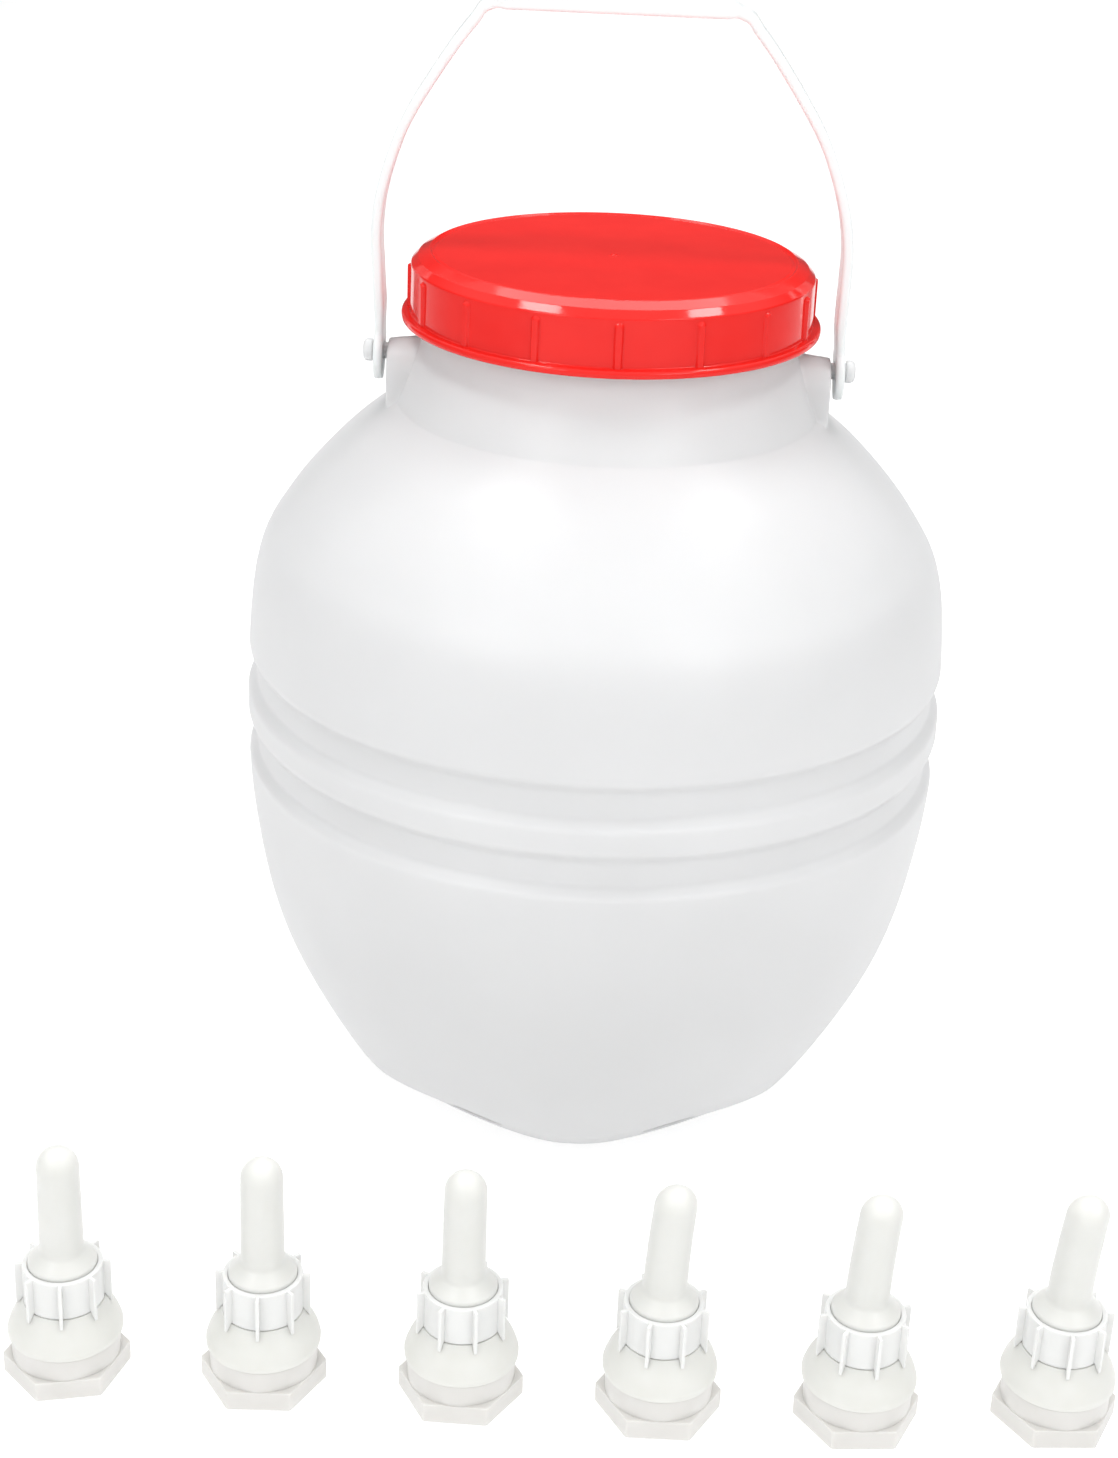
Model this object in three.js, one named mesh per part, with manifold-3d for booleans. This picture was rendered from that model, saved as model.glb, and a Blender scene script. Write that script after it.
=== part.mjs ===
// A calf feeding bottle: an eight-litre ball-shaped milk barrel with a carrying bail and a screw lid,
// and its six loose teat units, standing in a row in front of it.
// Millimetres, +Z up. The origin is the centre of the barrel's flat base, and -Y is the front.

import * as THREE from "three";
import { mergeVertices } from "three/addons/utils/BufferGeometryUtils.js";
import Module from "manifold-3d";

// Barrel: stations of its outer wall as [radius, height], from the edge of the flat base to the neck.
const BARREL_WALL_STATIONS = [
  [45, 0],
  [54, 4],
  [69.9, 16.3],
  [82.8, 27.5],
  [103.8, 69],
  [113, 110],
  [115, 150],
  [111.9, 194],
  [102.3, 215],
  [84.4, 236],
  [67, 250],
];
const BARREL_WALL = 2.2;
const BARREL_SIDES = 36;
const WALL_STEPS = 20;
const GROOVE_HEIGHTS = [138, 160.6];
const GROOVE_DEPTH = 2.8;
const GROOVE_HALF_WIDTH = 8;
const GROOVE_RINGS = [-1, -0.4, 0.4, 1];
const NECK_RADIUS = 59.2;
const NECK_FLARE_RADIUS = 62.2;
const NECK_FLARE_TOP = 262;
const NECK_FOOT = 272;
const NECK_TOP = 293.5;
const NECK_LIP_CHAMFER = 1;
const WALL_SAMPLES = 400;

// Six flat pads round the foot of the barrel, each with a hole for a teat unit.
const TEAT_COUNT = 6;
const PAD_SLOPE = THREE.MathUtils.degToRad(48.5);
const PAD_DISTANCE = 32.1;
const PAD_FIRST = THREE.MathUtils.degToRad(30);
const PAD_HOLE_HEIGHT = 16;
const PAD_HOLE_RADIUS = 10.4;
const PAD_HOLE_SIDES = 16;
const PAD_HOLE_REACH = 12;
const PAD_CUTTER_SIZE = 110;
const PAD_CUTTER_DEPTH = 40;

// Lugs on the neck, arched over the top, and the mushroom studs that the bail snaps over.
const LUG_FACE = 70.1;
const LUG_HALF_WIDTH = 10;
const LUG_ARCH_HEIGHT = 258;
const LUG_ARCH_STEPS = 10;
const LUG_FOOT = 246;
const LUG_ROOT = 57.5;
const LUG_CHAMFER = 1;
const STUD_HEIGHT = 263.4;
const STUD_SHANK_RADIUS = 2.6;
const STUD_HEAD_RADIUS = 3.6;
const STUD_HEAD_START = 75.1;
const STUD_END = 78.1;
const STUD_DOME_LENGTH = 1.2;
const STUD_DOME_INSET = 1.4;
const STUD_SIDES = 12;

// Screw lid and its thread.
const LID_SIDES = 48;
const LID_FOOT = 276.4;
const LID_TOP = 297.8;
const LID_DISC = 297.4;
const LID_ROOF = 295.3;
const LID_OUTER_RADIUS = 63.2;
const LID_FLANGE_RADIUS = 66;
const LID_INNER_RADIUS = 61.6;
const LID_INNER_CHAMFER = 2;
const LID_EDGE_TOP = 295.9;
const LID_EDGE_CHAMFER = 2.2;
const LID_FLANGE_HEIGHT = 2.4;
const LID_FLANGE_EDGE = 0.8;
const LID_FLANGE_TAPER = 0.5;
const LID_FLANGE_FILLET = 0.6;
const LID_BAND_RADIUS = 57.4;
const LID_GROOVE_RADIUS = 56.5;
const LID_GROOVE_DEPTH = 0.3;
const LID_DISC_RADIUS = 55.5;
const LID_RIBS = 16;
const LID_RIB_PHASE = THREE.MathUtils.degToRad(2.3);
const LID_RIB_WIDTH = 2.3;
const LID_RIB_PROUD = 1.1;
const LID_RIB_INSET = 0.6;
const LID_RIB_FOOT = 278.6;
const LID_RIB_TOP = 292.3;
const THREAD_LEAD = 8;
const THREAD_BEAD = 1.5;
const THREAD_STEPS = 36;
const THREAD_BEAD_HALF_STEPS = 2;
const NECK_THREAD_START = 282;
const LID_THREAD_DROP = 3.6;
const SEAL_RADIUS = 59.3;
const SEAL_GAP = 0.3;

// Carrying bail: stations of half its centreline as [distance from the middle, height].
const BAIL_STATIONS = [
  [73.1, 256],
  [72.9, 265],
  [72.5, 277],
  [72.9, 290],
  [73.1, 302],
  [71.5, 314],
  [67.2, 328],
  [61.6, 340],
  [50.6, 357],
  [43, 367],
  [38, 372],
  [24, 373.2],
];
const BAIL_LEAN = 2.5;
const BAIL_THICKNESS = 3.3;
const BAIL_BREADTH = 12;
const BAIL_STEPS = 44;
const BAIL_CHAMFER = 1;
const EYELET_RADIUS = 9;
const EYELET_THICKNESS = 2.8;
const EYELET_HOLE_RADIUS = 3.1;
const EYELET_SIDES = 24;
const EYELET_HOLE_SIDES = 16;
const GRIP_HALF_LENGTH = 35;
const GRIP_FOOT = 370.8;
const GRIP_TOP = 376.2;
const GRIP_BREADTH = 14;
const GRIP_CHAMFER = 1.6;

// Teat units: where each stands, how its hexagon and its nut are turned, in degrees, and how far its
// soft tip leans to +X.
const UNIT_PLACES = [
  { x: -146, y: -176.7, turn: 13, nutTurn: 8.5, lean: 0 },
  { x: -87.5, y: -177.1, turn: 2, nutTurn: 1, lean: 0 },
  { x: -29.1, y: -178.5, turn: -2, nutTurn: 20, lean: 0 },
  { x: 29.1, y: -180.6, turn: 0, nutTurn: 26, lean: 2 },
  { x: 87.3, y: -180.3, turn: 4.5, nutTurn: 14, lean: 2 },
  { x: 146, y: -175.3, turn: 4, nutTurn: -1, lean: 2.5 },
];
const UNIT_SIDES = 16;
const HEX_SIDES = 6;
const HEX_CORNER_RADIUS = 18.6;
const HEX_THICKNESS = 6.2;
const SEAT_RADIUS = 15.8;
const SEAT_TOP = 13;
const CORE_RADIUS = 9.7;
const CORE_TOP = 30.4;
const MILK_BORE_RADIUS = 6;
const WASHER_HOLE_RADIUS = 10.3;
const WASHER_FOOT = 13.3;
const WASHER_DOME = [
  [16, 13.3],
  [16.8, 14.3],
  [16.7, 15.6],
  [15.7, 18.5],
  [14.2, 21.2],
  [12, 24.8],
];
const NUT_RADIUS = 11.7;
const NUT_SKIRT_HOLE_RADIUS = 10.15;
const NUT_WEB_HOLE_RADIUS = 6.8;
const NUT_FOOT = 25.3;
const NUT_WEB_FOOT = 32.5;
const NUT_WEB_TOP = 34;
const NUT_TOP = 37;
const NUT_FINS = 8;
const NUT_FIN_RADIUS = 13.9;
const NUT_FIN_THICKNESS = 1.1;
const NUT_FIN_FOOT = 22.4;
const NUT_FIN_ROOT_FOOT = 27.3;
const NUT_FIN_INSET = 0.8;
const TEAT_FLANGE_RADIUS = 9.6;
const TEAT_FLANGE_FOOT = 30.7;
const TEAT_FLANGE_TOP = 32.2;
const TEAT_BELL_FOOT = 34.3;
const TEAT_BELL_SHOULDER = 38;
const TEAT_BELL_RADIUS = 9.7;
const TEAT_ROOT_RADIUS = 6.4;
const TEAT_TIP_RADIUS = 6.1;
const TEAT_TIP = 76;
const TEAT_TIP_ARC_DEGREES = 60;
const TEAT_TIP_ARC_STEPS = 2;
const TEAT_BORE_RADIUS = 4.2;
const TEAT_BORE_TOP = 71;
const TEAT_LEAN_START = 42;
const TEAT_LEAN_POWER = 1.5;
const TEAT_BORE_END_SHARE = 0.7;
const TEAT_BORE_END_RISE = 1;
const TEAT_BORE_END_LENGTH = 4;
const TEAT_TAPER_SHARE = 0.6;

// How far a tool solid runs past the face that it cuts or the body that it joins.
const RUN_PAST = 2;
// Corners closer than this are one corner.
const CORNER_TOLERANCE = 1e-4;

const wasm = await Module();
wasm.setup();

const materials = {
  barrel: new THREE.MeshStandardMaterial({ color: 0xe9eaeb, roughness: 0.42, metalness: 0 }),
  lid: new THREE.MeshStandardMaterial({ color: 0xf0302a, roughness: 0.22, metalness: 0 }),
  seal: new THREE.MeshStandardMaterial({ color: 0xf4f3ee, roughness: 0.7, metalness: 0 }),
  bail: new THREE.MeshStandardMaterial({ color: 0xf6f1f2, roughness: 0.4, metalness: 0 }),
  bushing: new THREE.MeshStandardMaterial({ color: 0xeeede6, roughness: 0.45, metalness: 0 }),
  washer: new THREE.MeshStandardMaterial({ color: 0xf0f0e6, roughness: 0.55, metalness: 0 }),
  nut: new THREE.MeshStandardMaterial({ color: 0xe8e9ea, roughness: 0.4, metalness: 0 }),
  teat: new THREE.MeshStandardMaterial({ color: 0xefefe9, roughness: 0.5, metalness: 0 }),
};

// A closed three.js geometry as a manifold-3d solid.
function solidOf(geometry) {
  const bare = geometry.index ? geometry.toNonIndexed() : geometry.clone();
  bare.deleteAttribute("normal");
  bare.deleteAttribute("uv");
  const merged = mergeVertices(bare, CORNER_TOLERANCE);
  const mesh = new wasm.Mesh({
    numProp: 3,
    vertProperties: new Float32Array(merged.attributes.position.array),
    triVerts: new Uint32Array(merged.index.array),
  });
  mesh.merge();
  return new wasm.Manifold(mesh);
}

// A manifold-3d solid as a three.js geometry.
function geometryOf(solid) {
  const mesh = solid.getMesh();
  const positions = new Float32Array(mesh.vertProperties);
  const geometry = new THREE.BufferGeometry();
  geometry.setAttribute("position", new THREE.BufferAttribute(positions, mesh.numProp));
  geometry.setIndex(new THREE.BufferAttribute(new Uint32Array(mesh.triVerts), 1));
  geometry.computeVertexNormals();
  return geometry;
}

function named(name, geometry, material) {
  const mesh = new THREE.Mesh(geometry, material.clone());
  mesh.name = name;
  return mesh;
}

// A profile of [radius, height] points turned about Z.
// It runs from the axis to the axis, up the outside, or round a closed loop.
function turned(profile, sides) {
  const points = profile.map(([radius, height]) => new THREE.Vector2(radius, height));
  return new THREE.LatheGeometry(points, sides).rotateX(Math.PI / 2);
}

function cylinder(radius, foot, top, sides) {
  return turned([[0, foot], [radius, foot], [radius, top], [0, top]], sides);
}

// A quarter-round edge, as [radius, height] points between two angles measured from +radius.
function arc(centreRadius, centreHeight, radius, fromDegrees, toDegrees, steps) {
  return Array.from({ length: steps + 1 }, (_, step) => {
    const angle = THREE.MathUtils.degToRad(THREE.MathUtils.lerp(fromDegrees, toDegrees, step / steps));
    return [centreRadius + radius * Math.cos(angle), centreHeight + radius * Math.sin(angle)];
  });
}

// A half-round thread bead of one turn, centred on a cylinder of the given radius.
function threadBead(radius, startHeight) {
  class Helix extends THREE.Curve {
    getPoint(t, target = new THREE.Vector3()) {
      const angle = 2 * Math.PI * t;
      return target.set(radius * Math.cos(angle), radius * Math.sin(angle), startHeight + THREAD_LEAD * t);
    }
  }
  const round = new THREE.Path().absarc(0, 0, THREAD_BEAD, 0, 2 * Math.PI);
  const section = new THREE.Shape(round.getPoints(THREAD_BEAD_HALF_STEPS));
  return new THREE.ExtrudeGeometry(section, { steps: THREAD_STEPS, extrudePath: new Helix() });
}

// ---- Barrel ----

function grooveDepthAt(height) {
  return GROOVE_HEIGHTS.reduce((depth, middle) => {
    const offset = Math.abs(height - middle) / GROOVE_HALF_WIDTH;
    return offset < 1 ? depth + GROOVE_DEPTH * Math.cos((offset * Math.PI) / 2) ** 2 : depth;
  }, 0);
}

// The outer wall from the base's edge to the neck's foot, with both hooped grooves pressed in.
function barrelWall() {
  const stations = BARREL_WALL_STATIONS.map(([radius, height]) => new THREE.Vector2(radius, height));
  const curve = new THREE.SplineCurve(stations);
  const inGroove = (height) => GROOVE_HEIGHTS.some((middle) => Math.abs(height - middle) < GROOVE_HALF_WIDTH);
  const plain = curve.getPoints(WALL_STEPS).filter((point) => !inGroove(point.y));
  const dense = curve.getPoints(WALL_SAMPLES);
  const radiusAt = (height) => dense.find((point) => point.y >= height).x;
  const grooves = GROOVE_HEIGHTS.flatMap((middle) =>
    GROOVE_RINGS.map((offset) => {
      const height = middle + offset * GROOVE_HALF_WIDTH;
      return new THREE.Vector2(radiusAt(height) - grooveDepthAt(height), height);
    }),
  );
  return [...plain, ...grooves].sort((a, b) => a.y - b.y).map((point) => [point.x, point.y]);
}

function neckWall() {
  return [
    [NECK_FLARE_RADIUS, NECK_FLARE_TOP],
    [NECK_RADIUS, NECK_FOOT],
    [NECK_RADIUS, NECK_TOP - NECK_LIP_CHAMFER],
    [NECK_RADIUS - NECK_LIP_CHAMFER, NECK_TOP],
  ];
}

// The same wall moved inwards by the wall thickness, along the normal at each point.
function innerWall(wall) {
  return wall.map(([radius, height], index) => {
    const before = wall[Math.max(index - 1, 0)];
    const after = wall[Math.min(index + 1, wall.length - 1)];
    const along = new THREE.Vector2(after[0] - before[0], after[1] - before[1]).normalize();
    return [radius - along.y * BARREL_WALL, Math.max(height + along.x * BARREL_WALL, BARREL_WALL)];
  });
}

// Puts a tool, made about +Z with its face at z = 0, on the plane of a pad facing out and down.
function ontoPad(geometry, index, inwards, alongHeight) {
  const heading = PAD_FIRST + (index * 2 * Math.PI) / TEAT_COUNT;
  const radius = (PAD_DISTANCE + alongHeight * Math.sin(PAD_SLOPE)) / Math.cos(PAD_SLOPE);
  return geometry
    .translate(0, 0, -inwards)
    .rotateX(Math.PI / 2 + PAD_SLOPE)
    .translate(0, -radius, alongHeight)
    .rotateZ(heading);
}

function padCutters(inwards) {
  return Array.from({ length: TEAT_COUNT }, (_, index) => {
    const block = new THREE.BoxGeometry(PAD_CUTTER_SIZE, PAD_CUTTER_SIZE, PAD_CUTTER_DEPTH);
    return ontoPad(block.translate(0, 0, PAD_CUTTER_DEPTH / 2), index, inwards, PAD_HOLE_HEIGHT);
  });
}

function padHoles() {
  return Array.from({ length: TEAT_COUNT }, (_, index) => {
    const drill = cylinder(PAD_HOLE_RADIUS, -PAD_HOLE_REACH, PAD_HOLE_REACH, PAD_HOLE_SIDES);
    return ontoPad(drill, index, 0, PAD_HOLE_HEIGHT);
  });
}

function lug(side) {
  const outline = new THREE.Shape();
  outline.moveTo(-LUG_HALF_WIDTH, LUG_FOOT);
  outline.lineTo(LUG_HALF_WIDTH, LUG_FOOT);
  outline.absarc(0, LUG_ARCH_HEIGHT, LUG_HALF_WIDTH, 0, Math.PI);
  const block = new THREE.ExtrudeGeometry(outline, {
    depth: LUG_FACE - LUG_ROOT - LUG_CHAMFER,
    curveSegments: LUG_ARCH_STEPS,
    bevelSegments: 1,
    bevelSize: LUG_CHAMFER,
    bevelThickness: LUG_CHAMFER,
    bevelOffset: -LUG_CHAMFER,
  });
  return block
    .translate(0, 0, LUG_ROOT)
    .rotateX(Math.PI / 2)
    .rotateZ((side * Math.PI) / 2);
}

function stud(side) {
  const profile = [
    [0, LUG_FACE - RUN_PAST],
    [STUD_SHANK_RADIUS, LUG_FACE - RUN_PAST],
    [STUD_SHANK_RADIUS, STUD_HEAD_START],
    [STUD_HEAD_RADIUS, STUD_HEAD_START],
    [STUD_HEAD_RADIUS, STUD_END - STUD_DOME_LENGTH],
    [STUD_HEAD_RADIUS - STUD_DOME_INSET, STUD_END],
    [0, STUD_END],
  ];
  return turned(profile, STUD_SIDES)
    .rotateY((side * Math.PI) / 2)
    .translate(0, 0, STUD_HEIGHT);
}

function makeBarrel() {
  const wall = [...barrelWall(), ...neckWall()];
  const outside = [[0, 0], ...wall, [0, NECK_TOP]];
  const hollowWall = innerWall(wall);
  const mouth = hollowWall[hollowWall.length - 3][0];
  const inside = [
    [0, BARREL_WALL],
    ...hollowWall.slice(0, -2),
    [mouth, NECK_TOP + RUN_PAST],
    [0, NECK_TOP + RUN_PAST],
  ];
  let body = solidOf(turned(outside, BARREL_SIDES));
  let hollow = solidOf(turned(inside, BARREL_SIDES));
  for (const cutter of padCutters(0)) body = body.subtract(solidOf(cutter));
  for (const cutter of padCutters(BARREL_WALL)) hollow = hollow.subtract(solidOf(cutter));
  body = body.add(solidOf(threadBead(NECK_RADIUS, NECK_THREAD_START)));
  for (const side of [-1, 1]) body = body.add(solidOf(lug(side))).add(solidOf(stud(side)));
  body = body.subtract(hollow);
  for (const hole of padHoles()) body = body.subtract(solidOf(hole));
  return named("barrel", geometryOf(body), materials.barrel);
}

// ---- Lid ----

function lidRib(index) {
  const outside = LID_OUTER_RADIUS + LID_RIB_PROUD;
  const depth = outside - LID_INNER_RADIUS - LID_RIB_INSET;
  const heading = LID_RIB_PHASE + (index * 2 * Math.PI) / LID_RIBS - Math.PI / 2;
  return new THREE.BoxGeometry(depth, LID_RIB_WIDTH, LID_RIB_TOP - LID_RIB_FOOT)
    .translate(outside - depth / 2, 0, (LID_RIB_TOP + LID_RIB_FOOT) / 2)
    .rotateZ(heading);
}

function makeLid() {
  const flangeTop = LID_FOOT + LID_FLANGE_HEIGHT;
  const profile = [
    [0, LID_ROOF],
    [LID_INNER_RADIUS - LID_INNER_CHAMFER, LID_ROOF],
    [LID_INNER_RADIUS, LID_ROOF - LID_INNER_CHAMFER],
    [LID_INNER_RADIUS, LID_FOOT],
    [LID_FLANGE_RADIUS - LID_FLANGE_TAPER, LID_FOOT],
    [LID_FLANGE_RADIUS, LID_FOOT + LID_FLANGE_EDGE],
    [LID_FLANGE_RADIUS - LID_FLANGE_TAPER, flangeTop - LID_FLANGE_EDGE],
    [LID_OUTER_RADIUS + LID_FLANGE_TAPER, flangeTop + LID_FLANGE_FILLET],
    [LID_OUTER_RADIUS, LID_EDGE_TOP - LID_EDGE_CHAMFER],
    [LID_OUTER_RADIUS - LID_EDGE_CHAMFER, LID_EDGE_TOP],
    [LID_BAND_RADIUS, LID_TOP],
    [LID_GROOVE_RADIUS, LID_DISC - LID_GROOVE_DEPTH],
    [LID_DISC_RADIUS, LID_DISC],
    [0, LID_DISC],
  ];
  let lid = solidOf(turned(profile, LID_SIDES));
  for (let index = 0; index < LID_RIBS; index += 1) lid = lid.add(solidOf(lidRib(index)));
  lid = lid.add(solidOf(threadBead(LID_INNER_RADIUS, NECK_THREAD_START - LID_THREAD_DROP)));
  return named("screw_lid", geometryOf(lid), materials.lid);
}

function makeSeal() {
  const disc = cylinder(SEAL_RADIUS, NECK_TOP + SEAL_GAP, LID_ROOF - SEAL_GAP, BARREL_SIDES);
  return named("lid_seal", disc, materials.seal);
}

// ---- Carrying bail ----

function bailPath() {
  const half = BAIL_STATIONS.map(([across, height]) => {
    const lean = (BAIL_LEAN * (height - STUD_HEIGHT)) / (GRIP_TOP - STUD_HEIGHT);
    return { across, height, lean: Math.max(lean, 0) };
  });
  const right = half.map(({ across, height, lean }) => new THREE.Vector3(across - lean, 0, height));
  const left = half.map(({ across, height, lean }) => new THREE.Vector3(-across - lean, 0, height));
  return new THREE.CatmullRomCurve3([...right, ...left.reverse()]);
}

// A rectangle with chamfered corners.
function chamferedSection(width, height, chamfer) {
  const section = new THREE.Shape();
  section.moveTo(-width / 2 + chamfer, -height / 2);
  section.lineTo(width / 2 - chamfer, -height / 2);
  section.lineTo(width / 2, -height / 2 + chamfer);
  section.lineTo(width / 2, height / 2 - chamfer);
  section.lineTo(width / 2 - chamfer, height / 2);
  section.lineTo(-width / 2 + chamfer, height / 2);
  section.lineTo(-width / 2, height / 2 - chamfer);
  section.lineTo(-width / 2, -height / 2 + chamfer);
  return section;
}

function alongX(geometry) {
  return geometry.rotateY(Math.PI / 2);
}

function makeBail() {
  const strapSection = chamferedSection(BAIL_BREADTH, BAIL_THICKNESS, BAIL_CHAMFER);
  let bail = solidOf(new THREE.ExtrudeGeometry(strapSection, { steps: BAIL_STEPS, extrudePath: bailPath() }));
  const middle = BAIL_STATIONS[0][0];
  const eyelet = () => cylinder(EYELET_RADIUS, -EYELET_THICKNESS / 2, EYELET_THICKNESS / 2, EYELET_SIDES);
  for (const side of [-1, 1]) {
    bail = bail.add(solidOf(alongX(eyelet()).translate(side * middle, 0, STUD_HEIGHT)));
  }
  const gripSection = chamferedSection(GRIP_BREADTH, GRIP_TOP - GRIP_FOOT, GRIP_CHAMFER);
  const grip = new THREE.ExtrudeGeometry(gripSection, { depth: 2 * GRIP_HALF_LENGTH, bevelEnabled: false });
  grip
    .translate(0, 0, -GRIP_HALF_LENGTH)
    .rotateX(Math.PI / 2)
    .rotateZ(Math.PI / 2)
    .translate(-BAIL_LEAN, 0, (GRIP_TOP + GRIP_FOOT) / 2);
  bail = bail.add(solidOf(grip));
  const bore = cylinder(EYELET_HOLE_RADIUS, -2 * middle, 2 * middle, EYELET_HOLE_SIDES);
  bail = bail.subtract(solidOf(alongX(bore).translate(0, 0, STUD_HEIGHT)));
  return named("carry_handle", geometryOf(bail), materials.bail);
}

// ---- Teat units, each made standing on z = 0 about its own axis ----

function makeBushing(number) {
  const hexagon = cylinder(HEX_CORNER_RADIUS, 0, HEX_THICKNESS, HEX_SIDES).rotateZ(Math.PI / HEX_SIDES);
  const post = turned(
    [
      [0, HEX_THICKNESS / 2],
      [SEAT_RADIUS, HEX_THICKNESS / 2],
      [SEAT_RADIUS, SEAT_TOP],
      [CORE_RADIUS, SEAT_TOP],
      [CORE_RADIUS, CORE_TOP],
      [0, CORE_TOP],
    ],
    UNIT_SIDES,
  );
  const bore = cylinder(MILK_BORE_RADIUS, -RUN_PAST, CORE_TOP + RUN_PAST, UNIT_SIDES);
  const body = solidOf(hexagon).add(solidOf(post)).subtract(solidOf(bore));
  return named(`hex_bushing_${number}`, geometryOf(body), materials.bushing);
}

function makeWasher(number) {
  const domeTop = WASHER_DOME[WASHER_DOME.length - 1][1];
  const loop = [
    [WASHER_HOLE_RADIUS, WASHER_FOOT],
    ...WASHER_DOME,
    [WASHER_HOLE_RADIUS, domeTop],
    [WASHER_HOLE_RADIUS, WASHER_FOOT],
  ];
  return named(`sealing_washer_${number}`, turned(loop, UNIT_SIDES), materials.washer);
}

// A fin whose foot slants down and out, along the dome of the washer below it.
function nutFin(index) {
  const root = NUT_RADIUS - NUT_FIN_INSET;
  const outline = new THREE.Shape();
  outline.moveTo(root, NUT_FIN_ROOT_FOOT);
  outline.lineTo(NUT_FIN_RADIUS, NUT_FIN_FOOT);
  outline.lineTo(NUT_FIN_RADIUS, NUT_TOP);
  outline.lineTo(root, NUT_TOP);
  return new THREE.ExtrudeGeometry(outline, { depth: NUT_FIN_THICKNESS, bevelEnabled: false })
    .translate(0, 0, -NUT_FIN_THICKNESS / 2)
    .rotateX(Math.PI / 2)
    .rotateZ((index * 2 * Math.PI) / NUT_FINS);
}

function makeNut(number) {
  const loop = [
    [NUT_SKIRT_HOLE_RADIUS, NUT_FOOT],
    [NUT_RADIUS, NUT_FOOT],
    [NUT_RADIUS, NUT_TOP],
    [NUT_SKIRT_HOLE_RADIUS, NUT_TOP],
    [NUT_SKIRT_HOLE_RADIUS, NUT_WEB_TOP],
    [NUT_WEB_HOLE_RADIUS, NUT_WEB_TOP],
    [NUT_WEB_HOLE_RADIUS, NUT_WEB_FOOT],
    [NUT_SKIRT_HOLE_RADIUS, NUT_WEB_FOOT],
    [NUT_SKIRT_HOLE_RADIUS, NUT_FOOT],
  ];
  let nut = solidOf(turned(loop, UNIT_SIDES));
  for (let index = 0; index < NUT_FINS; index += 1) nut = nut.add(solidOf(nutFin(index)));
  return named(`clamp_nut_${number}`, geometryOf(nut), materials.nut);
}

// The teat bends sideways above its bell, more and more towards its tip.
function leanTip(geometry, lean) {
  const position = geometry.attributes.position;
  for (let index = 0; index < position.count; index += 1) {
    const rise = Math.max(position.getZ(index) - TEAT_LEAN_START, 0) / (TEAT_TIP - TEAT_LEAN_START);
    position.setX(index, position.getX(index) + lean * rise ** TEAT_LEAN_POWER);
  }
  return geometry;
}

// The web of the nut sits in the waist between the teat's flange and its bell.
function makeTeat(number, lean) {
  const taperedRadius = THREE.MathUtils.lerp(TEAT_ROOT_RADIUS, TEAT_TIP_RADIUS, TEAT_TAPER_SHARE);
  const profile = [
    [0, TEAT_BORE_TOP],
    [TEAT_BORE_RADIUS * TEAT_BORE_END_SHARE, TEAT_BORE_TOP - TEAT_BORE_END_RISE],
    [TEAT_BORE_RADIUS, TEAT_BORE_TOP - TEAT_BORE_END_LENGTH],
    [TEAT_BORE_RADIUS, TEAT_LEAN_START],
    [TEAT_BORE_RADIUS, TEAT_FLANGE_FOOT],
    [TEAT_FLANGE_RADIUS, TEAT_FLANGE_FOOT],
    [TEAT_FLANGE_RADIUS, TEAT_FLANGE_TOP],
    [TEAT_ROOT_RADIUS, TEAT_FLANGE_TOP],
    [TEAT_ROOT_RADIUS, TEAT_BELL_FOOT],
    [TEAT_BELL_RADIUS, TEAT_BELL_FOOT],
    [TEAT_BELL_RADIUS, TEAT_BELL_SHOULDER],
    [TEAT_ROOT_RADIUS, TEAT_LEAN_START],
    [taperedRadius, (TEAT_LEAN_START + TEAT_TIP) / 2],
    ...arc(0, TEAT_TIP - TEAT_TIP_RADIUS, TEAT_TIP_RADIUS, 0, TEAT_TIP_ARC_DEGREES, TEAT_TIP_ARC_STEPS),
    [0, TEAT_TIP],
  ];
  return named(`teat_${number}`, leanTip(turned(profile, UNIT_SIDES), lean), materials.teat);
}

function makeUnit(place, number) {
  const unit = new THREE.Group();
  const bushing = makeBushing(number);
  bushing.rotation.z = THREE.MathUtils.degToRad(place.turn);
  const nut = makeNut(number);
  nut.rotation.z = THREE.MathUtils.degToRad(place.nutTurn);
  unit.add(bushing, makeWasher(number), nut, makeTeat(number, place.lean));
  unit.position.set(place.x, place.y, 0);
  return unit;
}

const bottle = new THREE.Group();
bottle.add(makeBarrel(), makeLid(), makeSeal(), makeBail());
UNIT_PLACES.forEach((place, index) => bottle.add(makeUnit(place, index + 1)));

export default bottle;
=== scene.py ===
"""Calf feeding bottle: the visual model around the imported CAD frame.

Sizes named here are millimetres, turned into metres where a mesh is made.
"""

import math

import bmesh
import bpy
from mathutils import Matrix, Vector


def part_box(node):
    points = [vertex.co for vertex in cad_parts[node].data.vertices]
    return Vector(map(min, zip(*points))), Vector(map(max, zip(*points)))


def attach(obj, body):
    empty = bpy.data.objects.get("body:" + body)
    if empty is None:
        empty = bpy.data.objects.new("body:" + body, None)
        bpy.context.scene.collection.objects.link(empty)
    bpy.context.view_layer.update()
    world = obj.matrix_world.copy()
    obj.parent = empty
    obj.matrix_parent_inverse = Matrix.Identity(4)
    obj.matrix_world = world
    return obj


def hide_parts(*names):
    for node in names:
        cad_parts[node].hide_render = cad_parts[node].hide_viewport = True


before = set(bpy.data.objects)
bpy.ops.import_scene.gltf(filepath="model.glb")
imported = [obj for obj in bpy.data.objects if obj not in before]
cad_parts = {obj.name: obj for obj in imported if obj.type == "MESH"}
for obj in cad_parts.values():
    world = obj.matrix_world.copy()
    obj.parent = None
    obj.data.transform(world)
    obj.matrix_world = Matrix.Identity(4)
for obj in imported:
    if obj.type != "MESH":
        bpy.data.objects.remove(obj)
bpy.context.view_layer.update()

MM = 0.001
TURN = 2 * math.pi

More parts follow.
